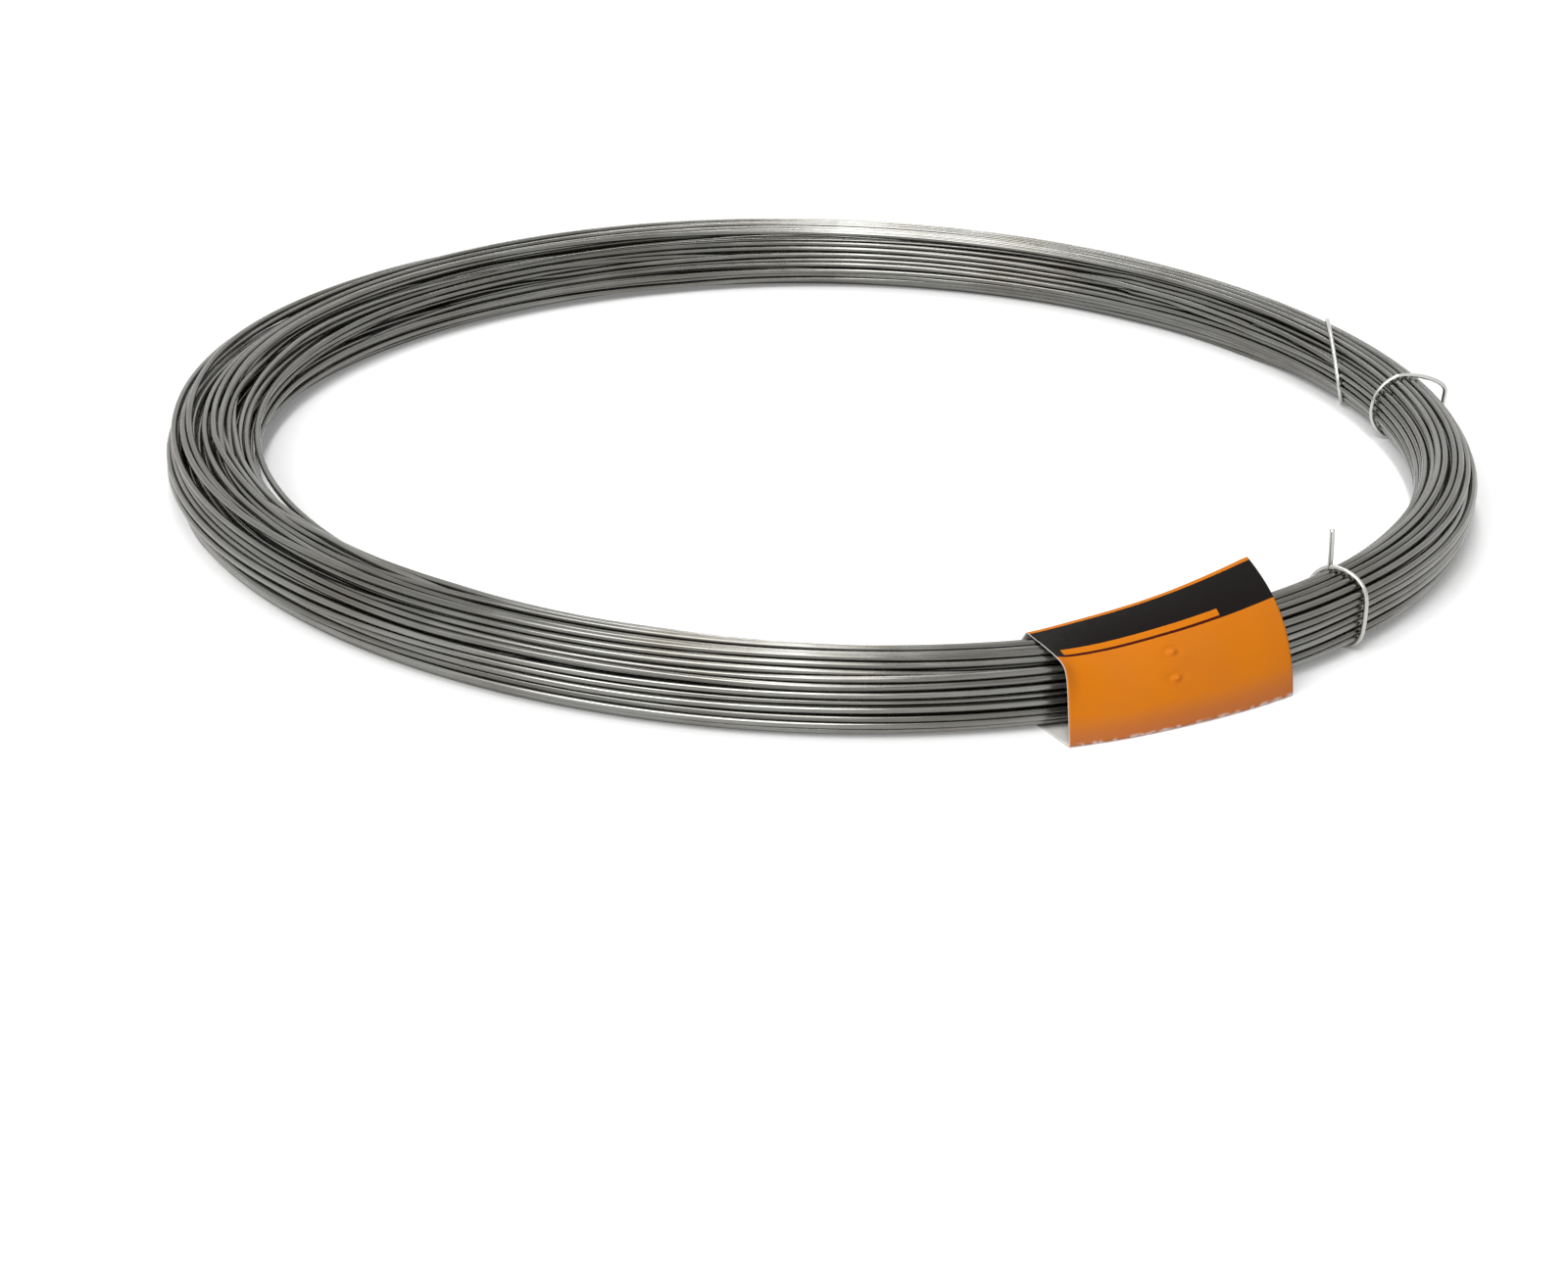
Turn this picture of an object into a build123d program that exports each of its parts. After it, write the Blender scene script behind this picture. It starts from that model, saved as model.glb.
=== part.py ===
"""Coil of annealed steel wire, tied with three wires and carrying a paper sleeve label.

The frame stands at the middle of the coil on the floor that it lies on, with +Z up.
Azimuths are measured around +Z from -Y, the front, towards +X.
"""

import os
from math import asin, atan2, cos, degrees, hypot, radians, sin, sqrt, tan

from build123d import *

# Wire bundle, whose turns lie a little apart where they show
wire_diameter = 1.65
turn_gap = 0.7
groove_depth = 0.8
coil_diameter = 340.0
bundle_width = 18.0
bundle_height = 19.2
inner_corner = 5.0
outer_corner_share = 0.4

# Tie wires: where each crosses the bundle, and how far its wrap is turned from the radius
tie_diameter = 1.2
tie_play = 0.15
tie_sides = 6
front_tie_azimuth = 47.0
front_tie_skew = 0.0
middle_tie_azimuth = 100.0
middle_tie_skew = 0.0
back_tie_azimuth = 114.5
back_tie_skew = 60.0

# The front tie's cut end stands up, and the middle tie stands off as a loose loop
cut_end_height = 9.0
cut_end_place_share = 0.35
loop_reach = 7.0
loop_bend = 4.0
loop_foot_share = 0.4

# Paper sleeve label
label_azimuth = 27.5
label_length = 59.0
label_thickness = 0.3
label_play = 0.15
label_fold_reach = 7.0
label_fold_bend = 0.8

# Bends of the paper and of the coil's feet are laid in this many flats
flat_count = 3

# Cutters reach this far past what they cut
overrun = 12.0

outer_corner = bundle_height * outer_corner_share
outer_radius = coil_diameter / 2
bore_radius = outer_radius - bundle_width
middle_radius = outer_radius - bundle_width / 2
label_angle = degrees(label_length / outer_radius)
label_bed_angle = degrees((label_length + 2 * label_play) / outer_radius)
up = Vector(0, 0, 1)


def meridian(azimuth):
    """Upright plane through the coil's axis: local x is the radius, local y the height."""
    return Plane.XZ.rotated((0, 0, azimuth - 90))


def wrap_plane(azimuth, skew):
    """Upright plane across the bundle, turned by skew from the radius at its middle."""
    radial = meridian(azimuth).x_dir
    across = radial.rotate(Axis.Z, skew)
    return Plane(origin=radial * middle_radius, x_dir=across, z_dir=across.cross(up))


def wrap_reach(radius, skew):
    """Distance along a wrap plane from the bundle's middle to a cylinder of this radius."""
    aside = middle_radius * sin(radians(skew))
    return sqrt(radius**2 - aside**2) - middle_radius * cos(radians(skew))


def section_corners(inset, inside, outside):
    """Corners of the bundle's section, inset all round, clockwise from the inner foot."""
    return [
        (inside + inset, inset),
        (inside + inset, bundle_height - inset),
        (outside - inset, bundle_height - inset),
        (outside - inset, inset),
    ]


def corner_radii(inset):
    """Radii of those corners."""
    return [inner_corner - inset, inner_corner - inset, outer_corner - inset, outer_corner - inset]


def turn_points(stretch):
    """Crowns and grooves of the turns along a stretch of the outline, a crown at either end."""
    turns = round(stretch.length / (wire_diameter + turn_gap))
    points = []
    for step in range(2 * turns + 1):
        place = step / (2 * turns)
        inward = stretch.tangent_at(place).cross(up)
        sunk = groove_depth if step % 2 else 0
        points.append(stretch.position_at(place) + inward * sunk)
    return points


def creased_points(outline):
    """Corners of an outline once its bends are laid in flats."""
    points = []
    passed = 0
    for edge in outline.order_edges():
        flats = flat_count if edge.geom_type == GeomType.CIRCLE else 1
        for step in range(flats):
            place = passed + edge.length * step / flats
            points.append(outline.position_at(place, PositionMode.LENGTH))
        passed += edge.length
    return points


def squeezed_section(inset, inside, outside):
    """Outline of the bundle's section, squeezed by inset all round."""
    with BuildLine() as outline:
        FilletPolyline(
            *section_corners(inset, inside, outside), radius=corner_radii(inset), close=True
        )
    return outline.wire()


def waist(neck, inside, outside):
    """Sketch of all that lies round the outline of a neck in the bundle."""
    with BuildSketch() as frame:
        with BuildLine():
            Polyline(*section_corners(-overrun, inside, outside), close=True)
        make_face()
        with BuildLine():
            add(neck)
        make_face(mode=Mode.SUBTRACT)
    return frame.sketch


def tie_corners(skew, loop):
    """Corners and bends of a tie's centre line in its wrap plane, loop being its slack outside."""
    inset = tie_diameter / 2
    inside = wrap_reach(bore_radius, skew)
    outside = wrap_reach(outer_radius, skew)
    corners = section_corners(inset, inside, outside)
    bends = corner_radii(inset)
    if loop:
        corners[2] = (outside + loop, bundle_height - inset)
        corners.insert(3, (outside + loop, bundle_height * loop_foot_share))
        bends[2] = loop_bend
        bends.insert(3, loop_bend)
    return corners, bends


def wrap_tie(azimuth, skew, loop=0.0):
    """Tie wire bent once round the bundle."""
    plane = wrap_plane(azimuth, skew)
    corners, bends = tie_corners(skew, loop)
    with BuildPart() as tie:
        with BuildLine(plane) as centre_line:
            FilletPolyline(*corners, radius=bends, close=True)
        with BuildSketch(Plane(origin=centre_line.line @ 0, z_dir=centre_line.line % 0)):
            RegularPolygon(tie_diameter / 2, tie_sides)
        sweep()
    return tie.part


# The turns show from the top of the bore over the bundle and down its outside
with BuildLine() as turned_stretch:
    CenterArc((bore_radius + inner_corner, bundle_height - inner_corner), inner_corner, 180, -90)
    Line(
        (bore_radius + inner_corner, bundle_height),
        (outer_radius - outer_corner, bundle_height),
    )
    CenterArc((outer_radius - outer_corner, bundle_height - outer_corner), outer_corner, 90, -90)
    Line((outer_radius, bundle_height - outer_corner), (outer_radius, outer_corner))

# The feet are plain, to either side of the flat that rests on the floor
with BuildLine() as feet:
    CenterArc((outer_radius - outer_corner, outer_corner), outer_corner, 0, -90)
    Line((outer_radius - outer_corner, 0), (bore_radius + inner_corner, 0))
    CenterArc((bore_radius + inner_corner, inner_corner), inner_corner, 270, -90)

# Neck that the paper sleeve lies round
label_inset = label_thickness + label_play
with BuildLine() as label_neck:
    Polyline(
        *creased_points(squeezed_section(label_inset, bore_radius, outer_radius)), close=True
    )

# Wire bundle: one turned solid with bearing flats in its bore and under it
with BuildPart() as wire_coil:
    with BuildSketch(Plane.XZ):
        with BuildLine():
            Polyline(
                *turn_points(turned_stretch.wire())[:-1],
                *creased_points(feet.wire()),
                (bore_radius, inner_corner),
                close=True,
            )
        make_face()
    revolve(axis=Axis.Z)
    # The paper sleeve squeezes the bundle into a waist
    with BuildSketch(meridian(label_azimuth - label_bed_angle / 2)):
        add(waist(label_neck.wire(), bore_radius, outer_radius))
    revolve(axis=Axis.Z, revolution_arc=label_bed_angle, mode=Mode.SUBTRACT)
    # So does each tie
    for azimuth, skew in (
        (front_tie_azimuth, front_tie_skew),
        (middle_tie_azimuth, middle_tie_skew),
        (back_tie_azimuth, back_tie_skew),
    ):
        inside = wrap_reach(bore_radius, skew)
        outside = wrap_reach(outer_radius, skew)
        tie_neck = squeezed_section(tie_diameter + tie_play, inside, outside)
        with BuildSketch(wrap_plane(azimuth, skew)):
            add(waist(tie_neck, inside, outside))
        extrude(amount=tie_diameter / 2 + tie_play, both=True, mode=Mode.SUBTRACT)
wire_coil.part.label = "wire_coil"

# Front tie, with the cut end that stands up from its top
with BuildPart() as front_tie:
    add(wrap_tie(front_tie_azimuth, front_tie_skew))
    top_run = wrap_plane(front_tie_azimuth, front_tie_skew)
    end_foot = top_run.from_local_coords(
        Vector(bundle_width * (cut_end_place_share - 1 / 2), bundle_height - tie_diameter / 2)
    )
    with BuildSketch(Plane(origin=end_foot, x_dir=top_run.x_dir, z_dir=up)):
        RegularPolygon(tie_diameter / 2, tie_sides)
    extrude(amount=cut_end_height + tie_diameter / 2)
front_tie.part.label = "front_tie"

# Middle tie, slack on the outside of the coil
with BuildPart() as middle_tie:
    add(wrap_tie(middle_tie_azimuth, middle_tie_skew, loop_reach))
middle_tie.part.label = "middle_tie"

# Back tie, wrapped aslant
with BuildPart() as back_tie:
    add(wrap_tie(back_tie_azimuth, back_tie_skew))
back_tie.part.label = "back_tie"

# Paper sleeve: round the bundle, its front panel running straight to a fold on the floor
fold = (outer_radius + label_fold_reach, 0)
shoulder = (outer_radius - outer_corner, bundle_height - outer_corner)
to_shoulder = atan2(shoulder[1], shoulder[0] - fold[0])
panel_slope = to_shoulder - asin(outer_corner / hypot(shoulder[0] - fold[0], shoulder[1]))
with BuildLine() as sleeve:
    FilletPolyline(
        fold,
        (fold[0] + bundle_height / tan(panel_slope), bundle_height),
        (bore_radius, bundle_height),
        (bore_radius, 0),
        radius=[label_fold_bend, outer_corner, inner_corner, inner_corner],
        close=True,
    )
with BuildPart() as paper_label:
    with BuildSketch(meridian(label_azimuth - label_angle / 2)):
        with BuildLine():
            Polyline(*creased_points(sleeve.wire()), close=True)
        make_face()
        offset(amount=-label_thickness, kind=Kind.INTERSECTION, mode=Mode.SUBTRACT)
    revolve(axis=Axis.Z, revolution_arc=label_angle)
paper_label.part.label = "paper_label"

os.makedirs("parts", exist_ok=True)
export_step(wire_coil.part, "parts/wire_coil.step")
export_step(front_tie.part, "parts/front_tie.step")
export_step(middle_tie.part, "parts/middle_tie.step")
export_step(back_tie.part, "parts/back_tie.step")
export_step(paper_label.part, "parts/paper_label.step")
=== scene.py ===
"""Dresses the coil of annealed steel wire: its loose turns, three tie wires and a printed paper sleeve.

Lengths are in metres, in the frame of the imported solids: +Z up, the floor at zero, -Y to the front.
Azimuths are in degrees around +Z, from -Y towards +X.
"""

import logging
from dataclasses import dataclass, field
from enum import Enum
from itertools import product
from math import cos, pi, radians, sin

import bpy
import numpy as np
from mathutils import Matrix, Vector


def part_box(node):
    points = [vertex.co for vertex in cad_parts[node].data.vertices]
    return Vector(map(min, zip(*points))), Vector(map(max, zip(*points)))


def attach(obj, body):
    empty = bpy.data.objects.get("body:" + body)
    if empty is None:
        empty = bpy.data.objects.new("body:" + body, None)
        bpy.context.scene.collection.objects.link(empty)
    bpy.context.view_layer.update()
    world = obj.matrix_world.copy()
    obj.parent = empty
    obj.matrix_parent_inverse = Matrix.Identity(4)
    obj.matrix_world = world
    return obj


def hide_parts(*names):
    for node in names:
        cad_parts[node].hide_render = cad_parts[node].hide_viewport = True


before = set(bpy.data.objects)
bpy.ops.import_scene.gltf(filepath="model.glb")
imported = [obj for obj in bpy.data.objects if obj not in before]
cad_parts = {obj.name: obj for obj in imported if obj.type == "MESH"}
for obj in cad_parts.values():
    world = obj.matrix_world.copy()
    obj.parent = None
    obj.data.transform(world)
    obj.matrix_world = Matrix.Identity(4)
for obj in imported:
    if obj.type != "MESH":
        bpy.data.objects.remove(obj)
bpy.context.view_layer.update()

Colour = tuple[float, float, float]
Point = tuple[float, float, float]
Span = tuple[float, float]
Socket = bpy.types.NodeSocket

MM = 0.001
BODY = "root"
UV_MAP = "lay"
WIRE_MAP = "OFBake"
TONE = "turn_tone"

# Keeps the distance of a turn from itself out of a division by zero
TINY = 1e-9

# A direction that no tie runs along, from which the rings of a tube start
ASIDE = (0.31, 0.22, 0.92)

log = logging.getLogger("coil")


class TieStyle(Enum):
    """How a tie wire leaves the bundle."""

    SNUG = "snug"
    CUT_END = "cut_end"
    LOOSE_LOOP = "loose_loop"


class Side(Enum):
    """The two faces of the sleeve's paper, numbered as its material slots."""

    PRINTED = 0
    BARE = 1


def around(azimuths: np.ndarray, radii: np.ndarray, heights: np.ndarray) -> np.ndarray:
    """Points of the frame from azimuths, radii and heights.

    Args:
        azimuths: Angles in degrees from the front.
        radii: Distances from the coil's axis.
        heights: Heights above the floor.

    Returns:
        The points, with one more axis of length three.
    """
    angle = np.radians(azimuths)
    right, back = radii * np.sin(angle), -radii * np.cos(angle)
    return np.stack(np.broadcast_arrays(right, back, heights), axis=-1)


def bearings(angles: np.ndarray) -> np.ndarray:
    """Unit vectors of a plane, at angles in radians from its first axis."""
    return np.stack([np.cos(angles), np.sin(angles)], axis=-1)


def angle_between(azimuths: np.ndarray, middle: float) -> np.ndarray:
    """Degrees between azimuths and another one, the shorter way round."""
    return np.abs((azimuths - middle + 180.0) % 360.0 - 180.0)


def hump(azimuths: np.ndarray, middle: float, reach: float) -> np.ndarray:
    """A smooth hump of height one over some azimuths.

    Args:
        azimuths: Angles in degrees.
        middle: Where the hump is highest.
        reach: How far to each side it comes down to zero.

    Returns:
        The hump's height at each azimuth.
    """
    away = angle_between(azimuths, middle)
    return np.where(away < reach, np.cos(np.minimum(away / reach, 1.0) * pi / 2) ** 2, 0.0)


def smooth_step(values: np.ndarray) -> np.ndarray:
    """Eases values from zero to one, and holds them there."""
    held = np.clip(values, 0.0, 1.0)
    return held * held * (3.0 - 2.0 * held)


def blur(values: np.ndarray, spread: float) -> np.ndarray:
    """Blurs rows of values along their first axis.

    Args:
        values: An array of one axis or more.
        spread: Width of the blur, in rows.

    Returns:
        The blurred array, with its ends held.
    """
    reach = int(3 * spread) + 1
    kernel = np.exp(-0.5 * (np.arange(-reach, reach + 1) / spread) ** 2)
    kernel /= kernel.sum()
    columns = values.reshape(len(values), -1).T
    padded = [np.concatenate([np.full(reach, c[0]), c, np.full(reach, c[-1])]) for c in columns]
    return np.stack([np.convolve(c, kernel, "valid") for c in padded], axis=-1).reshape(values.shape)


def blur_round(values: np.ndarray, spread: float) -> np.ndarray:
    """Blurs rows of values whose last row meets the first.

    Args:
        values: An array of two axes or more.
        spread: Width of the blur, in rows.

    Returns:
        The blurred array.
    """
    count = len(values)
    return blur(np.concatenate([values] * 3), spread)[count : 2 * count]


def spaced(line: np.ndarray, count: int, start: float = 0.0) -> np.ndarray:
    """Spaces points evenly along a line.

    Args:
        line: Points along the line, the last of which isn't reached.
        count: Number of points to give.
        start: Where the first one lies, in shares of a step.

    Returns:
        The spaced points.
    """
    length = np.concatenate([[0.0], np.cumsum(np.linalg.norm(np.diff(line, axis=0), axis=1))])
    place = (np.arange(count) + start) * length[-1] / count
    return np.stack([np.interp(place, length, column) for column in line.T], axis=-1)


def make_object(
    name: str, points: np.ndarray, faces: np.ndarray, materials: list[bpy.types.Material]
) -> bpy.types.Object:
    """Makes a smooth-shaded mesh object in the scene.

    Args:
        name: Name of the piece.
        points: Corner points, one row each.
        faces: Corner numbers, one row of four for each face.
        materials: Materials in the order of the slots.

    Returns:
        The new object.
    """
    mesh = bpy.data.meshes.new(name)
    mesh.vertices.add(len(points))
    mesh.vertices.foreach_set("co", np.asarray(points, np.float32).ravel())
    mesh.loops.add(faces.size)
    mesh.loops.foreach_set("vertex_index", np.asarray(faces, np.int32).ravel())
    mesh.polygons.add(len(faces))
    mesh.polygons.foreach_set("loop_start", np.arange(0, faces.size, 4, dtype=np.int32))
    mesh.update(calc_edges=True)
    mesh.polygons.foreach_set("use_smooth", np.ones(len(faces), bool))
    for material in materials:
        mesh.materials.append(material)
    piece = bpy.data.objects.new(name, mesh)
    bpy.context.scene.collection.objects.link(piece)
    return piece


def set_uv(piece: bpy.types.Object, corners: np.ndarray, name: str = UV_MAP) -> None:
    """Gives a piece its UV map.

    Args:
        piece: The mesh object.
        corners: One UV pair for each corner of each face, in order.
        name: Name of the map.
    """
    layer = piece.data.uv_layers.new(name=name)
    layer.uv.foreach_set("vector", np.asarray(corners, np.float32).ravel())


def set_tone(piece: bpy.types.Object, tones: np.ndarray) -> None:
    """Gives each point of a steel piece its tone, from zero for dark to one for pale."""
    layer = piece.data.attributes.new(TONE, "FLOAT", "POINT")
    layer.data.foreach_set("value", tones.astype(np.float32))


def unrolled(columns: np.ndarray, count: int) -> np.ndarray:
    """Lets faces that close a ring end one column past its last, and not at its first.

    Args:
        columns: Column of each corner, one row for each face.
        count: Number of columns in a ring.

    Returns:
        The columns, which now run from zero to count.
    """
    closing = (columns.max(axis=1) == count - 1) & (columns.min(axis=1) == 0)
    return np.where(closing[:, None] & (columns == 0), count, columns)


def seat(piece: bpy.types.Object, node: str) -> None:
    """Lets a piece stand for a node of the frame.

    Args:
        piece: The mesh object.
        node: The node that it replaces.
    """
    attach(piece, BODY)
    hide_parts(node)
    log.info("%s stands for %s with %d faces", piece.name, node, len(piece.data.polygons))


def tube_faces(rings: int, sides: int, closed: bool) -> np.ndarray:
    """Faces of a tube whose points come ring by ring.

    Args:
        rings: Number of rings.
        sides: Number of points in a ring.
        closed: True where the last ring meets the first.

    Returns:
        One row of four corner numbers for each face.
    """
    ring = np.arange(rings if closed else rings - 1)[:, None]
    side = np.arange(sides)[None, :]
    here, beyond = ring * sides, (ring + 1) % rings * sides
    turned = (side + 1) % sides
    corners = [here + side, beyond + side, beyond + turned, here + turned]
    return np.stack(corners, axis=-1).reshape(-1, 4)


def tube_points(path: np.ndarray, radius: float, sides: int, closed: bool) -> np.ndarray:
    """Points of a round tube along a path, ring by ring, without twist.

    Args:
        path: Points along the middle of the tube.
        radius: Radius of the tube.
        sides: Number of points in a ring.
        closed: True where the path's end meets its start.

    Returns:
        The tube's points.
    """
    if closed:
        ahead, behind = np.roll(path, -1, axis=0), np.roll(path, 1, axis=0)
    else:
        ahead, behind = np.vstack([path[1:], path[-1:]]), np.vstack([path[:1], path[:-1]])
    along = ahead - behind
    along /= np.linalg.norm(along, axis=1, keepdims=True)
    angle = (np.arange(sides) * 2 * pi / sides)[:, None]
    across = np.cross(along[0], np.cross(along[0], ASIDE))
    rings = []
    for middle, direction in zip(path, along):
        across = across - direction * np.dot(across, direction)
        across /= np.linalg.norm(across)
        other = np.cross(across, direction)
        rings.append(middle + radius * (np.cos(angle) * across + np.sin(angle) * other))
    return np.concatenate(rings)


class Shading:
    """Small helper that adds nodes to one node tree and joins them."""

    def __init__(self, tree: bpy.types.NodeTree) -> None:
        """Keeps the tree that nodes go into."""
        self.tree = tree

    def node(self, kind: str, settings: dict | None = None, **sockets: object) -> bpy.types.Node:
        """Adds a node.

        Args:
            kind: Blender's name for the node's type.
            settings: Properties of the node itself.
            sockets: Input values or output sockets to join, by input name with _ for a space.

        Returns:
            The new node.
        """
        made = self.tree.nodes.new(kind)
        for name, value in (settings or {}).items():
            setattr(made, name, value)
        for name, value in sockets.items():
            self.feed(made.inputs[name.replace("_", " ")], value)
        return made

    def feed(self, socket: Socket, value: object) -> None:
        """Joins a socket to another, or sets its value.

        Args:
            socket: The input socket.
            value: An output socket, or the value to set.
        """
        if isinstance(value, Socket):
            self.tree.links.new(value, socket)
        elif isinstance(value, tuple) and len(value) == 3 and socket.type == "RGBA":
            socket.default_value = (*value, 1.0)
        else:
            socket.default_value = value

    def group(self, tree: bpy.types.NodeTree, **sockets: object) -> bpy.types.Node:
        """Places a shared node group with its own values."""
        return self.node("ShaderNodeGroup", {"node_tree": tree}, **sockets)

    def noise(self, dimensions: str, place: Socket, **sockets: object) -> Socket:
        """Adds a noise texture over places of two or three dimensions."""
        made = self.node("ShaderNodeTexNoise", {"noise_dimensions": dimensions}, Vector=place, **sockets)
        return made.outputs["Fac"]

    def stretch(self, place: Socket, by: object) -> Socket:
        """Multiplies a place by another vector.

        Args:
            place: The place to stretch.
            by: How much along each axis, as a vector or socket.

        Returns:
            The stretched place.
        """
        made = self.node("ShaderNodeVectorMath", {"operation": "MULTIPLY"})
        self.feed(made.inputs[0], place)
        self.feed(made.inputs[1], by)
        return made.outputs[0]

    def math(self, operation: str, first: object, second: object = 0.0, third: object = 0.0) -> Socket:
        """Adds a math node.

        Args:
            operation: Blender's name for the operation.
            first: First number or socket.
            second: Second number or socket.
            third: Third number or socket.

        Returns:
            The node's output.
        """
        made = self.node("ShaderNodeMath", {"operation": operation})
        for socket, value in zip(made.inputs, (first, second, third)):
            self.feed(socket, value)
        return made.outputs[0]

    def weigh(self, share: float, first: Socket, second: Socket) -> Socket:
        """Adds a share of one value to the rest of another."""
        rest = self.math("MULTIPLY", second, 1.0 - share)
        return self.math("MULTIPLY_ADD", first, share, rest)

    def between(self, value: Socket, low: float, high: float) -> Socket:
        """A mask of one where a value lies between two others."""
        above = self.math("GREATER_THAN", value, low)
        return self.math("MULTIPLY", above, self.math("LESS_THAN", value, high))

    def mix(self, share: object, first: object, second: object) -> Socket:
        """Adds a node that mixes two colours.

        Args:
            share: Share of the second colour.
            first: First colour or socket.
            second: Second colour or socket.

        Returns:
            The mixed colour.
        """
        made = self.node("ShaderNodeMix", {"data_type": "RGBA"})
        for place, value in ((0, share), (6, first), (7, second)):
            self.feed(made.inputs[place], value)
        return made.outputs[2]

    def span(
        self, value: object, low: object, high: object, to_low: float = 0.0, to_high: float = 1.0
    ) -> Socket:
        """Adds a node that maps a range of values smoothly to another.

        Args:
            value: The number or socket to map.
            low: Value that gives to_low.
            high: Value that gives to_high.
            to_low: Result at the low end.
            to_high: Result at the high end.

        Returns:
            The mapped value.
        """
        made = self.node("ShaderNodeMapRange", {"interpolation_type": "SMOOTHSTEP"})
        for socket, given in zip(made.inputs, (value, low, high, to_low, to_high)):
            self.feed(socket, given)
        return made.outputs[0]

    def relief(self, shader: bpy.types.Node, height: Socket, depth: float, strength: float) -> None:
        """Gives a shader fine relief of some depth and strength."""
        bump = self.node("ShaderNodeBump", Strength=strength, Distance=depth, Height=height)
        self.feed(shader.inputs["Normal"], bump.outputs[0])


def new_group(
    name: str, inputs: dict[str, tuple[str, object]], outputs: dict[str, str]
) -> tuple[Shading, dict[str, Socket], bpy.types.Node]:
    """Starts a shader node group with named sockets.

    Args:
        name: Name of the group.
        inputs: Socket type and default of each input.
        outputs: Socket type of each output.

    Returns:
        The group's helper, its inputs by name and its output node.
    """
    tree = bpy.data.node_groups.new(name, "ShaderNodeTree")
    for label, (kind, default) in inputs.items():
        socket = tree.interface.new_socket(label, in_out="INPUT", socket_type=kind)
        if default is not None:
            socket.default_value = default
    for label, kind in outputs.items():
        tree.interface.new_socket(label, in_out="OUTPUT", socket_type=kind)
    shading = Shading(tree)
    entry = shading.node("NodeGroupInput")
    return shading, {label: entry.outputs[label] for label in inputs}, shading.node("NodeGroupOutput")


class SharedEffects:
    """Node groups that several finishes place with their own values."""

    BROAD_SHARE = 0.65
    FINE_STRETCH = (0.6, 4.0, 1.0)
    STREAK_RANGE = (0.34, 0.66)

    def __init__(self) -> None:
        """Builds each group once."""
        self.die_lines = self._die_lines()
        self.mottle = self._mottle()

    def _die_lines(self) -> bpy.types.NodeTree:
        """Fine lines that a drawing die leaves along a wire.

        Returns:
            The group, which puts out a streak mask and a height.
        """
        vector, value = "NodeSocketVector", "NodeSocketFloat"
        shading, given, out = new_group(
            "die_lines",
            {
                "Lay": (vector, None),
                "Along": (value, 30.0),
                "Across": (value, 400.0),
                "Wander": (value, 0.3),
            },
            {"Streaks": value, "Height": value},
        )
        rates = shading.node("ShaderNodeCombineXYZ", X=given["Along"], Y=given["Across"])
        place = shading.stretch(given["Lay"], rates.outputs[0])
        broad = shading.noise(
            "2D", place, Scale=1.0, Detail=3.0, Roughness=0.6, Distortion=given["Wander"]
        )
        fine = shading.noise("2D", shading.stretch(place, self.FINE_STRETCH), Scale=1.0, Detail=2.0)
        streaks = shading.weigh(self.BROAD_SHARE, broad, fine)
        shading.feed(out.inputs["Streaks"], shading.span(streaks, *self.STREAK_RANGE))
        shading.feed(out.inputs["Height"], fine)
        return shading.tree

    def _mottle(self) -> bpy.types.NodeTree:
        """Soft blotches through space, for oxide, handling marks and scuffs.

        Returns:
            The group, which puts out a mask.
        """
        value = "NodeSocketFloat"
        shading, given, out = new_group(
            "mottle",
            {
                "Scale": (value, 40.0),
                "Detail": (value, 4.0),
                "Low": (value, 0.4),
                "High": (value, 0.65),
            },
            {"Mask": value},
        )
        place = shading.node("ShaderNodeTexCoord").outputs["Object"]
        noise = shading.noise(
            "3D", place, Scale=given["Scale"], Detail=given["Detail"], Roughness=0.58
        )
        shading.feed(out.inputs["Mask"], shading.span(noise, given["Low"], given["High"]))
        return shading.tree

    def blotches(
        self, shading: Shading, *, scale: float, detail: float, low: float, high: float
    ) -> Socket:
        """Places the mottle in a material and gives its mask."""
        made = shading.group(self.mottle, Scale=scale, Detail=detail, Low=low, High=high)
        return made.outputs["Mask"]


def new_material(name: str) -> tuple[bpy.types.Material, Shading, bpy.types.Node]:
    """Starts a material with one Principled shader.

    Args:
        name: Name of the material.

    Returns:
        The material, its helper and the shader node.
    """
    material = bpy.data.materials.new(name)
    material.use_nodes = True
    material.node_tree.nodes.clear()
    shading = Shading(material.node_tree)
    shader = shading.node("ShaderNodeBsdfPrincipled")
    shading.node("ShaderNodeOutputMaterial", Surface=shader.outputs[0])
    return material, shading, shader


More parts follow.
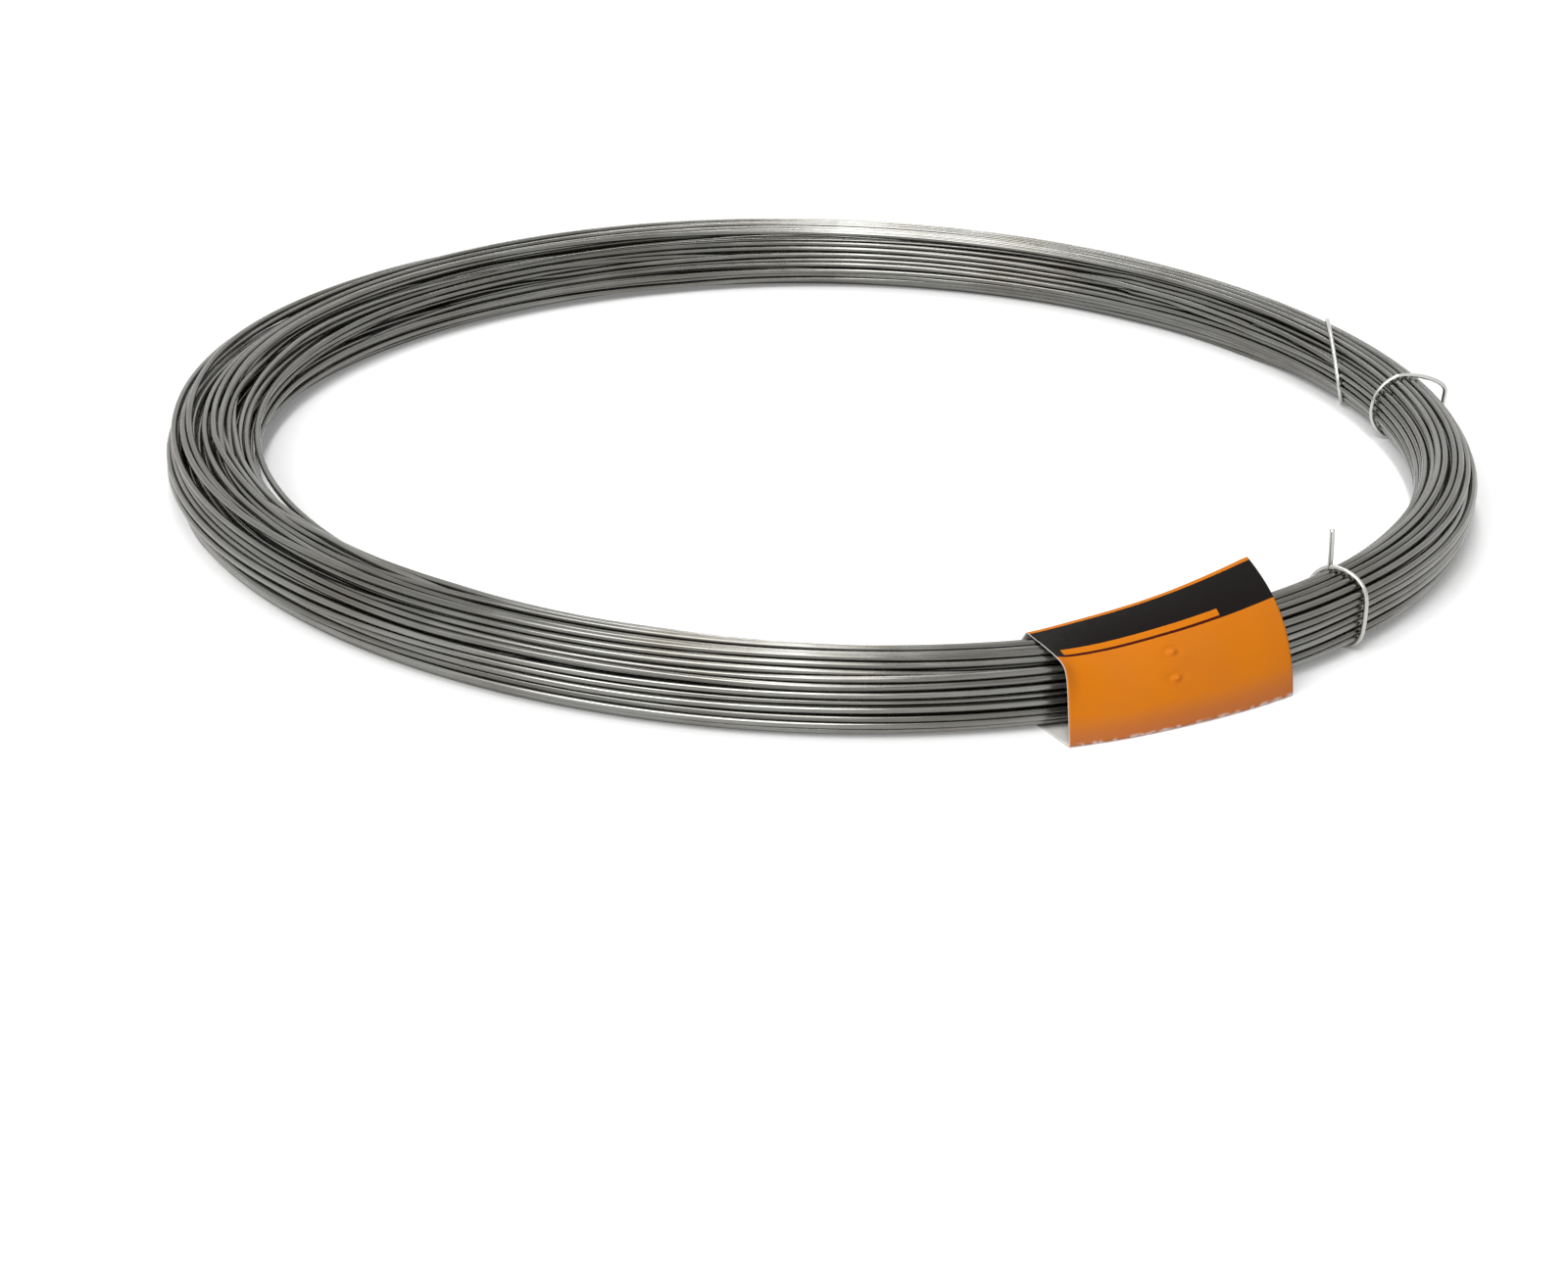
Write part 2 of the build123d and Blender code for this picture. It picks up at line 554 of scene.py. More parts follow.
@dataclass(frozen=True)
class SteelFinish:
    """Drawn steel wire, more or less darkened by annealing."""

    name: str
    slot: str
    pale: Colour
    dark: Colour
    oxide: Colour
    oxide_share: float
    roughness: Span
    streaks_along: float
    streaks_across: float
    line_depth: float
    lay_map: str = UV_MAP
    streak_share: float = 0.45
    rub_share: float = 0.5
    relief_strength: float = 0.2

    def material(self, effects: SharedEffects) -> bpy.types.Material:
        """Makes the finish.

        Args:
            effects: The shared node groups.

        Returns:
            The material.
        """
        material, shading, shader = new_material(self.name)
        lay = shading.node("ShaderNodeUVMap", {"uv_map": self.lay_map}).outputs[0]
        tone = shading.node("ShaderNodeAttribute", {"attribute_name": TONE}).outputs["Fac"]
        lines = shading.group(
            effects.die_lines, Lay=lay, Along=self.streaks_along, Across=self.streaks_across
        )
        streaks = lines.outputs["Streaks"]
        darkened = effects.blotches(shading, scale=26.0, detail=5.0, low=0.42, high=0.68)
        rub = effects.blotches(shading, scale=70.0, detail=2.0, low=0.4, high=0.7)
        steel = shading.mix(shading.weigh(self.streak_share, streaks, tone), self.dark, self.pale)
        oxide = shading.math("MULTIPLY", darkened, self.oxide_share)
        shading.feed(shader.inputs["Base Color"], shading.mix(oxide, steel, self.oxide))
        rough = shading.weigh(self.rub_share, rub, streaks)
        shading.feed(shader.inputs["Roughness"], shading.span(rough, 0.0, 1.0, *self.roughness))
        shader.inputs["Metallic"].default_value = 1.0
        shading.relief(shader, lines.outputs["Height"], self.line_depth, self.relief_strength)
        return material


@dataclass(frozen=True)
class PaperFinish:
    """Coated paper, printed on its outside.

    Places of the print are shares of the front sheet, downwards from its upper fold or along it.
    """

    slot: str = "label_paper"
    bare: Colour = (0.74, 0.72, 0.69)
    orange: Colour = (0.66, 0.190, 0.008)
    # A darker, browner orange, used towards the lower fold and in random blotches
    darker_orange: Colour = (0.44, 0.140, 0.050)
    black: Colour = (0.008, 0.006, 0.006)
    rule: Colour = (0.055, 0.006, 0.004)
    black_from: float = 0.035
    black_to: float = 0.345
    stripe_from: float = 0.275
    stripe_to: float = 0.325
    stripe_start: float = 0.045
    stripe_end: float = 0.73
    fold_darkening: float = 0.75
    fold_darkening_reach: Span = (0.02, 0.26)
    age_fading: float = 0.14
    crease_wear: float = 0.9
    crease_reach: float = 0.035
    specular: float = 0.06
    gloss_roughness: float = 0.46
    scuffed_roughness: float = 0.56
    bare_roughness: float = 0.62
    dull_share: float = 0.88
    fibre_depth: float = 0.06 * MM
    fibre_strength: float = 0.12

    def printed(self, effects: SharedEffects, front: float) -> bpy.types.Material:
        """Makes the printed outside.

        Args:
            effects: The shared node groups.
            front: Share of the way round the sleeve that its front sheet takes.

        Returns:
            The material.
        """
        material, shading, shader = new_material("printed_paper")
        uv = shading.node("ShaderNodeUVMap", {"uv_map": UV_MAP})
        lay = shading.node("ShaderNodeSeparateXYZ", Vector=uv.outputs[0])
        down = shading.math("DIVIDE", lay.outputs["Y"], front)
        scuff = effects.blotches(shading, scale=420.0, detail=6.0, low=0.46, high=0.6)
        age = effects.blotches(shading, scale=70.0, detail=3.0, low=0.3, high=0.7)
        # The orange turns darker and browner towards the lower fold, at the floor, and in random
        # blotches
        from_fold = shading.math("ABSOLUTE", shading.math("SUBTRACT", down, 1.0))
        near_fold = shading.span(from_fold, *self.fold_darkening_reach, self.fold_darkening, 0.0)
        darkening = shading.math("MAXIMUM", near_fold, shading.math("MULTIPLY", age, self.age_fading))
        colour = shading.mix(darkening, self.orange, self.darker_orange)
        in_black = shading.between(down, self.black_from, self.black_to)
        colour = shading.mix(in_black, colour, self.black)
        stripe = shading.between(lay.outputs["X"], self.stripe_start, self.stripe_end)
        in_stripe = shading.between(down, self.stripe_from, self.stripe_to)
        colour = shading.mix(shading.math("MULTIPLY", stripe, in_stripe), colour, self.orange)
        in_rule = shading.between(down, self.stripe_to, self.black_to)
        colour = shading.mix(shading.math("MULTIPLY", stripe, in_rule), colour, self.rule)
        crease = shading.span(from_fold, 0.0, self.crease_reach, self.crease_wear, 0.0)
        worn = shading.math("MULTIPLY", crease, scuff)
        shading.feed(shader.inputs["Base Color"], shading.mix(worn, colour, self.bare))
        rough = shading.span(scuff, 0.0, 1.0, self.gloss_roughness, self.scuffed_roughness)
        shading.feed(shader.inputs["Roughness"], rough)
        self._surface(shading, shader, effects)
        return material

    def inside(self, effects: SharedEffects) -> bpy.types.Material:
        """Makes the unprinted inside.

        Args:
            effects: The shared node groups.

        Returns:
            The material.
        """
        material, shading, shader = new_material("bare_paper")
        cloud = effects.blotches(shading, scale=160.0, detail=4.0, low=0.3, high=0.7)
        dull = tuple(self.dull_share * part for part in self.bare)
        shading.feed(shader.inputs["Base Color"], shading.mix(cloud, self.bare, dull))
        shader.inputs["Roughness"].default_value = self.bare_roughness
        self._surface(shading, shader, effects)
        return material

    def _surface(self, shading: Shading, shader: bpy.types.Node, effects: SharedEffects) -> None:
        """Gives a paper its sheen and the fine relief of its fibres.

        Args:
            shading: Helper of the material.
            shader: Its Principled node.
            effects: The shared node groups.
        """
        shader.inputs["Specular IOR Level"].default_value = self.specular
        fibre = effects.blotches(shading, scale=2600.0, detail=3.0, low=0.3, high=0.7)
        shading.relief(shader, fibre, self.fibre_depth, self.fibre_strength)


@dataclass(frozen=True)
class SectionMark:
    """Width and height of the bundle at one azimuth."""

    azimuth: float
    width: float
    height: float


@dataclass(frozen=True)
class Squeeze:
    """A stretch where something wraps the bundle: where, how far to each side, and how thick."""

    azimuth: float
    reach: float
    thickness: float


@dataclass(frozen=True)
class Parting:
    """A place where the turns part in two: where, how far to each side, at which lane, how wide."""

    azimuth: float
    reach: float
    lane: float
    gap: float


@dataclass
class WireBundle:
    """The wire: one length wound into loose turns that ties and sleeve squeeze together.

    A side of the coil is given as its middle azimuth and its reach to each side.
    """

    outer_radius: float
    height: float
    squeezes: list[Squeeze]
    wire_diameter: float = 1.65 * MM
    turns: int = 78
    stations: int = 288
    sides: int = 8
    seam_azimuth: float = 27.5
    seed: int = 11
    stray_swaps: int = 9
    lane_bulge: float = 2.1
    outline_steps: int = 721
    widest_pitch: float = 2.4 * MM
    closest_pitch: float = 1.0 * MM
    pitch_tries: int = 281
    section_ease_share: float = 1 / 60
    change_share: Span = (0.22, 0.42)
    squeeze_ease: float = 12.0
    squeeze_hold: float = 0.8
    squeeze_hold_reach: float = 22.0
    wander: float = 0.9 * MM
    wander_spread_share: float = 0.06
    least_slack: float = 0.6
    loose_slack: float = 1.0
    loose_side: Span = (262.0, 95.0)
    parting_ease: float = 0.16
    fan_level: float = 0.1
    overhang: float = 2.2 * MM
    overhang_side: Span = (300.0, 50.0)
    overhang_ease: float = 0.5
    spread_foot: float = 6.0 * MM
    spread_foot_side: Span = (216.0, 58.0)
    spread_foot_ease: float = 0.7
    box_play: float = 0.06 * MM
    rounds: int = 170
    pull: float = 0.02
    push: float = 0.7
    stiff_reach: float = 3.0
    stiffness: float = 0.5
    last_stiffness: float = 0.04
    crossing_passes: int = 4
    paths: np.ndarray = field(init=False)

    def section_marks(self) -> list[SectionMark]:
        """Sizes of the bundle read from the photograph, round the coil."""
        return [
            SectionMark(0.0, 14.2 * MM, 18.8 * MM),
            SectionMark(27.5, 14.6 * MM, 17.9 * MM),
            SectionMark(47.0, 15.0 * MM, 16.6 * MM),
            SectionMark(73.0, 14.8 * MM, 18.8 * MM),
            SectionMark(100.0, 15.0 * MM, 16.6 * MM),
            SectionMark(114.0, 15.0 * MM, 16.6 * MM),
            SectionMark(145.0, 15.4 * MM, 18.6 * MM),
            SectionMark(180.0, 19.0 * MM, 18.6 * MM),
            SectionMark(218.0, 24.0 * MM, 18.0 * MM),
            SectionMark(270.0, 23.2 * MM, 17.4 * MM),
            SectionMark(312.0, 20.0 * MM, 17.6 * MM),
            SectionMark(340.0, 15.6 * MM, 18.6 * MM),
        ]

    def partings(self) -> list[Parting]:
        """Gaps between groups of turns on the loose left side; lanes run from -1 inside to 1 outside."""
        return [
            Parting(300.0, 48.0, -0.42, 3.0 * MM),
            Parting(252.0, 60.0, 0.22, 2.6 * MM),
            Parting(282.0, 40.0, -0.08, 2.0 * MM),
            Parting(216.0, 42.0, -0.34, 2.4 * MM),
            Parting(335.0, 30.0, 0.30, 1.6 * MM),
        ]

    @property
    def azimuths(self) -> np.ndarray:
        """Azimuth of each station of a turn."""
        return self.seam_azimuth + 360.0 * np.arange(self.stations) / self.stations

    def section_size(self) -> tuple[np.ndarray, np.ndarray]:
        """Eases the bundle's size from mark to mark.

        Returns:
            Width and height of the bundle at each station.
        """
        marks = self.section_marks()
        places = [mark.azimuth for mark in marks]
        sizes = [[mark.width for mark in marks], [mark.height for mark in marks]]
        at_stations = [np.interp(self.azimuths, places, size, period=360.0) for size in sizes]
        eased = blur_round(np.stack(at_stations, axis=-1), self.stations * self.section_ease_share)
        return eased[:, 0], eased[:, 1]

    def packed_slots(self) -> np.ndarray:
        """Packs the turns into a tight bundle, as loosely as they fit.

        Returns:
            Place of each turn, in shares of half the bundle's width and height.
        """
        marks = self.section_marks()
        narrow = min(mark.width for mark in marks)
        low = min(mark.height for mark in marks)
        reach = (np.array([narrow, low]) - self.wire_diameter) / 2
        for pitch in np.linspace(self.widest_pitch, self.closest_pitch, self.pitch_tries):
            slots = self._layers(reach, pitch)
            if len(slots) >= self.turns:
                break
        return slots[: self.turns] / reach

    def _layers(self, reach: np.ndarray, pitch: float) -> np.ndarray:
        """Places along nested outlines, from the outermost inwards.

        Args:
            reach: Half the width and half the height of the outermost outline.
            pitch: Distance between neighbours.

        Returns:
            The places in the bundle's section.
        """
        shape = bearings(np.linspace(0.0, 2 * pi, self.outline_steps))
        shape = np.sign(shape) * np.abs(shape) ** (2 / self.lane_bulge)
        layers = []
        for number, inset in enumerate(np.arange(0.0, reach.min(), pitch * sin(pi / 3))):
            outline = shape * (reach - inset)
            around_it = np.linalg.norm(np.diff(outline, axis=0), axis=1).sum()
            layers.append(spaced(outline, max(int(around_it / pitch), 1), number % 2 / 2))
        return np.vstack(layers)

    def winding_order(self, chance: np.random.Generator) -> np.ndarray:
        """Order in which the wire visits the slots: layer by layer, with a few strays.

        Args:
            chance: Source of random numbers.

        Returns:
            Slot numbers in order.
        """
        order = np.arange(self.turns)
        for first, second in chance.integers(1, self.turns - 1, (self.stray_swaps, 2)):
            order[first], order[second] = order[second], order[first]
        return order

    def lifts(self) -> np.ndarray:
        """Finds how far ties and paper stand between the bundle and its outline.

        Returns:
            The distance at each station.
        """
        lift = np.zeros(self.stations)
        for squeeze in self.squeezes:
            away = angle_between(self.azimuths, squeeze.azimuth)
            near = smooth_step((squeeze.reach + self.squeeze_ease - away) / self.squeeze_ease)
            lift = np.maximum(lift, squeeze.thickness * near)
        return lift

    def wandering(self, chance: np.random.Generator) -> np.ndarray:
        """How far each turn strays from its lane, as radius and height at each station.

        Args:
            chance: Source of random numbers.

        Returns:
            An array of turns, stations and two.
        """
        noise = chance.normal(size=(self.turns * self.stations, 2))
        noise = blur(noise, self.stations * self.wander_spread_share)
        noise /= noise.std(axis=0)
        slack = self.least_slack + self.loose_slack * hump(self.azimuths, *self.loose_side)
        for squeeze in self.squeezes:
            reach = squeeze.reach + self.squeeze_hold_reach
            slack *= 1.0 - self.squeeze_hold * hump(self.azimuths, squeeze.azimuth, reach)
        return noise.reshape(self.turns, self.stations, 2) * (self.wander * slack)[None, :, None]

    def lanes(self, chance: np.random.Generator) -> np.ndarray:
        """Where each turn would lie if nothing pushed it, as radius and height at each station.

        Args:
            chance: Source of random numbers.

        Returns:
            An array of turns, stations and two.
        """
        slots = self.packed_slots()
        start = slots[self.winding_order(chance)]
        finish = np.vstack([start[1:], start[-1:]])
        change = chance.uniform(*self.change_share, (self.turns, 1))
        begin = chance.uniform(0.0, 1.0, (self.turns, 1)) * (1.0 - change)
        place = np.arange(self.stations)[None, :] / self.stations
        share = smooth_step((place - begin) / change)[..., None]
        across, up = np.moveaxis(start[:, None] + (finish - start)[:, None] * share, -1, 0)
        width, height = self.section_size()
        wire = self.wire_diameter
        inward = self._spread(across, up, width)
        radius = self.outer_radius - self.lifts() - wire / 2 - inward
        rise = self.lifts() + wire / 2 + (1.0 + up) / 2 * (height - wire)
        return np.stack([radius, rise], axis=-1)

    def _spread(self, across: np.ndarray, up: np.ndarray, width: np.ndarray) -> np.ndarray:
        """Spreads the lanes over the bundle's width, parted and fanned out on the loose side.

        Args:
            across: Lane of each turn at each station, from -1 inside to 1 outside.
            up: Level of each turn at each station, from -1 at the foot to 1 at the top.
            width: Width of the bundle at each station.

        Returns:
            How far inside the outermost lane each turn lies.
        """
        partings = self.partings()
        gaps = [part.gap * hump(self.azimuths, part.azimuth, part.reach) for part in partings]
        core = width - sum(gaps) - self.wire_diameter
        inward = (1.0 - across) / 2 * core
        for part, gap in zip(partings, gaps):
            inward += gap * smooth_step((part.lane - across) / self.parting_ease + 0.5)
        above = smooth_step((up - self.fan_level) / self.overhang_ease)
        below = smooth_step((self.fan_level - up) / self.spread_foot_ease)
        inward += self.overhang * hump(self.azimuths, *self.overhang_side) * above
        inward += self.spread_foot * hump(self.azimuths, *self.spread_foot_side) * below
        return inward

    def push_apart(self, paths: np.ndarray) -> np.ndarray:
        """Moves turns that lie in each other apart.

        Args:
            paths: Radius and height of each turn at each station.

        Returns:
            The moved paths.
        """
        at_station = paths.transpose(1, 0, 2)
        apart = at_station[:, :, None, :] - at_station[:, None, :, :]
        distance = np.sqrt((apart**2).sum(axis=-1)) + TINY
        overlap = np.clip(self.wire_diameter - distance, 0.0, None)
        overlap[:, np.arange(self.turns), np.arange(self.turns)] = 0.0
        push = (apart * (overlap / distance)[..., None]).sum(axis=2) * (self.push / 2)
        return paths + push.transpose(1, 0, 2)

    def keep_in(self, paths: np.ndarray) -> np.ndarray:
        """Keeps the turns above the floor and inside the coil's diameter and height.

        Args:
            paths: Radius and height of each turn at each station, which are changed in place.

        Returns:
            The same paths.
        """
        margin = self.wire_diameter / 2 + self.box_play + self.lifts()[None, :]
        paths[..., 0] = np.minimum(paths[..., 0], self.outer_radius - margin)
        paths[..., 1] = np.clip(paths[..., 1], margin, self.height - margin)
        return paths

    def settle(self) -> None:
        """Lays the turns and lets them push each other to their places, as stiff wire does."""
        chance = np.random.default_rng(self.seed)
        wanted = self.lanes(chance) + self.wandering(chance)
        paths = wanted.copy()
        for number in range(self.rounds):
            left = 1.0 - number / self.rounds
            paths += (wanted - paths) * self.pull * left
            wire = self.push_apart(paths).reshape(-1, 2)
            eased = blur(wire, self.stiff_reach)
            wire += (eased - wire) * (self.stiffness * left + self.last_stiffness)
            paths = self.keep_in(wire.reshape(paths.shape))
        self.paths = paths
        top = paths[..., 1].max() + self.wire_diameter / 2
        log.info("settled %d turns, tops at most %.2f mm high", self.turns, top / MM)

    def section_at(self, azimuth: float, skew: float = 0.0) -> np.ndarray:
        """Where the turns cross an upright plane through the bundle.

        Args:
            azimuth: Where the plane meets the bundle's middle.
            skew: Angle in degrees between the plane and the radius.

        Returns:
            Radius and height of each turn where it crosses the plane.
        """
        crossing = np.full(self.turns, azimuth)
        turn = np.arange(self.turns)
        for _ in range(self.crossing_passes):
            place = (crossing - self.seam_azimuth) % 360.0 / 360.0 * self.stations
            points = self.paths[turn, np.minimum(np.round(place).astype(int), self.stations - 1)]
            along = self.across_plane(points[:, 0], skew)
            crossing = azimuth + np.degrees(np.arcsin(along * sin(radians(skew)) / points[:, 0]))
        return points

    @staticmethod
    def across_plane(radii: np.ndarray, skew: float) -> np.ndarray:
        """How far along an upright plane, from the middle of the bundle, each radius is met.

        Args:
            radii: Radius of each turn that crosses the plane.
            skew: Angle in degrees between the plane and the radius at the middle.

        Returns:
            Distances along the plane, outwards positive.
        """
        middle, turn = radii.mean(), radians(skew)
        return np.sqrt(radii**2 - (middle * sin(turn)) ** 2) - middle * cos(turn)

    def build(self, material: bpy.types.Material, slot: str) -> None:
        """Makes the wire's meshes, in two lengths.

        Args:
            material: Finish of the wire.
            slot: Material slot of the record; not used.
        """
        half = self.turns // 2
        for name, first, last in (
            ("wire_first_turns", 0, half),
            ("wire_last_turns", half, self.turns),
        ):
            wire_end = self.turns * self.stations
            stations = np.arange(first * self.stations, min(last * self.stations + 1, wire_end))
            points, faces = self._tube(stations)
            piece = make_object(name, points, faces, [material])
            self._mark(piece, stations, faces)
            seat(piece, "wire_coil")

    def _tube(self, stations: np.ndarray) -> tuple[np.ndarray, np.ndarray]:
        """Makes a length of the wire, closed at both ends.

        Args:
            stations: Its stations, counted along the whole wire.

        Returns:
            Its points and faces.
        """
        wire = self.paths.reshape(-1, 2)[stations]
        azimuths = np.tile(self.azimuths, self.turns)[stations]
        angle = np.arange(self.sides) * 2 * pi / self.sides
        reach = self.wire_diameter / 2
        radii = wire[:, :1] + reach * np.cos(angle)
        heights = wire[:, 1:] + reach * np.sin(angle)
        points = around(azimuths[:, None], radii, heights).reshape(-1, 3)
        walls = tube_faces(len(stations), self.sides, False)
        second = np.arange(1, self.sides - 1, 2)
        end = np.stack([np.zeros_like(second), second, second + 1, second + 2], axis=-1)
        far_end = end[:, ::-1] + (len(stations) - 1) * self.sides
        return points, np.vstack([walls, end, far_end])

    def _mark(self, piece: bpy.types.Object, stations: np.ndarray, faces: np.ndarray) -> None:
        """Gives a length of wire its UV map, a strip for each turn, and the tone of its turns.

        Args:
            piece: The length of wire.
            stations: Its stations, counted along the whole wire.
            faces: Its faces.
        """
        ring = faces // self.sides
        turn = (stations[ring[:, 0]] // self.stations)[:, None]
        along = stations[ring] / self.stations - turn
        across = turn - turn.min() + unrolled(faces % self.sides, self.sides) / self.sides
        set_uv(piece, np.stack([along, across / np.ceil(across.max())], axis=-1), WIRE_MAP)
        chance = np.random.default_rng(self.seed + 1)
        knots = chance.uniform(0.0, 1.0, self.turns + 1)
        tone = np.interp(stations / self.stations, np.arange(self.turns + 1), knots)
        set_tone(piece, np.repeat(tone, self.sides))


def wrap_hull(points: np.ndarray, directions: np.ndarray) -> np.ndarray:
    """The point of a cloud in a plane that lies furthest out in each direction."""
    return points[np.argmax(points @ directions.T, axis=0)]


@dataclass
class TieWire:
    """A short wire bent once round the bundle."""

    node: str
    azimuth: float
    skew: float
    style: TieStyle
    lean: float = 0.0
    diameter: float = 1.2 * MM
    play: float = 0.2 * MM
    grip_reach: float = 2.0
    rounding: float = 2.0 * MM
    steps: int = 150
    sides: int = 12
    rim_steps: int = 24
    hull_steps: int = 720
    tone: float = 0.6
    cut_end_place: float = -3.0 * MM
    cut_end_height: float = 8.6 * MM
    cut_end_bend: float = 0.5 * MM
    cut_end_crown: float = 0.12 * MM
    cut_end_steps: int = 18
    top_depth: float = 4.0 * MM
    loop_reach: float = 5.0 * MM
    loop_middle: float = 22.0
    loop_spread: float = 62.0
    loop_fullness: float = 0.8

    def squeeze(self) -> Squeeze:
        """The stretch of the bundle that the tie squeezes."""
        return Squeeze(self.azimuth, self.grip_reach, self.diameter)

    def ring(self, bundle: WireBundle) -> tuple[np.ndarray, float]:
        """The tie's middle line in its own plane.

        Args:
            bundle: The turns that it wraps.

        Returns:
            Points along the line, as distance across the bundle and height, and the radius at
            zero distance.
        """
        crossing = bundle.section_at(self.azimuth, self.skew)
        middle = crossing[:, 0].mean()
        half = bundle.wire_diameter / 2
        rim = bearings(np.linspace(0.0, 2 * pi, self.rim_steps, endpoint=False)) * half
        rim[:, 0] /= cos(radians(self.skew))
        across = bundle.across_plane(crossing[:, 0], self.skew)
        strands = np.stack([across, crossing[:, 1]], axis=-1)
        cloud = (strands[:, None] + rim).reshape(-1, 2)
        facing = bearings(np.linspace(0.0, 2 * pi, self.hull_steps, endpoint=False))
        line = wrap_hull(cloud, facing) + facing * (self.diameter / 2 + self.play)
        if self.style is TieStyle.LOOSE_LOOP:
            turn = np.degrees(np.arctan2(facing[:, 1], facing[:, 0]))
            out = hump(turn, self.loop_middle, self.loop_spread) ** self.loop_fullness
            line[:, 0] += self.loop_reach * out
        return self._even(line), middle

    def _even(self, line: np.ndarray) -> np.ndarray:
        """Spaces the points of a closed line evenly and eases its corners.

        Args:
            line: Points along the line.

        Returns:
            The evened line.
        """
        closed = np.vstack([line, line[:1]])
        length = np.linalg.norm(np.diff(closed, axis=0), axis=1).sum()
        return blur_round(spaced(closed, self.steps), self.rounding * self.steps / length)

    def in_frame(self, line: np.ndarray, middle: float) -> np.ndarray:
        """Sets a line of the tie's plane upright across the bundle, or leaning along it.

        Args:
            line: Distance across the bundle and height of each point.
            middle: Radius of the bundle's middle.

        Returns:
            Points of the frame.
        """
        turn = radians(self.azimuth + self.skew)
        start = around(np.array(self.azimuth), np.array(middle), np.array(0.0))
        across = np.array([sin(turn), -cos(turn), 0.0])
        along = np.array([cos(radians(self.azimuth)), sin(radians(self.azimuth)), 0.0])
        upright = np.array([0.0, 0.0, 1.0])
        rise = line[:, 1:]
        leaning = (rise - rise.mean()) * self.lean * along
        return start + line[:, :1] * across + leaning + rise * upright

    def build(self, bundle: WireBundle, material: bpy.types.Material, slot: str) -> None:
        """Makes the tie's mesh.

        Args:
            bundle: The turns that it wraps.
            material: Finish of the tie.
            slot: Material slot of the record; not used.
        """
        line, middle = self.ring(bundle)
        line[:, 1] = np.maximum(line[:, 1], self.diameter / 2)
        path = self.in_frame(line, middle)
        points = tube_points(path, self.diameter / 2, self.sides, True)
        faces = tube_faces(len(path), self.sides, True)
        corners = self._lay(faces)
        if self.style is TieStyle.CUT_END:
            end_points, end_faces = self._cut_end(line, middle)
            corners = np.concatenate([corners, self._lay(end_faces)])
            faces = np.vstack([faces, end_faces + len(points)])
            points = np.vstack([points, end_points])
        piece = make_object(self.node + "_wire", points, faces, [material])
        set_uv(piece, corners)
        set_tone(piece, np.full(len(points), self.tone))
        seat(piece, self.node)

    def _lay(self, faces: np.ndarray) -> np.ndarray:
        """UV pairs along and around the tie for the corners of its faces."""
        return np.stack([faces // self.sides / self.steps, faces % self.sides / self.sides], axis=-1)

    def _cut_end(self, line: np.ndarray, middle: float) -> tuple[np.ndarray, np.ndarray]:
        """Makes the end that stands up from the top of the tie.

        Args:
            line: The tie's middle line.
            middle: Radius of the bundle's middle.

        Returns:
            Points and faces of the end.
        """
        top = line[:, 1].max()
        too_low = line[:, 1] < top - self.top_depth
        start = line[np.argmin(np.abs(line[:, 0] - self.cut_end_place) + too_low)]
        share = np.linspace(0.0, 1.0, self.cut_end_steps)
        rise = start[1] + (self.cut_end_height + top - start[1]) * share
        bent = np.stack([start[0] - self.cut_end_bend * share**2, rise], axis=-1)
        path = self.in_frame(bent, middle)
        points = tube_points(path, self.diameter / 2, self.sides, False)
        walls = tube_faces(len(path), self.sides, False)
        crown = path[-1] + np.array([0.0, 0.0, self.cut_end_crown])
        foot, tip = len(points), len(points) + 1
        near = np.arange(0, self.sides, 2)
        fan = np.stack([near, near + 1, (near + 2) % self.sides], axis=-1)
        below = np.insert(fan, 3, foot, axis=1)
        above = np.insert(fan[:, ::-1] + foot - self.sides, 3, tip, axis=1)
        return np.vstack([points, path[:1], crown]), np.vstack([walls, below, above])


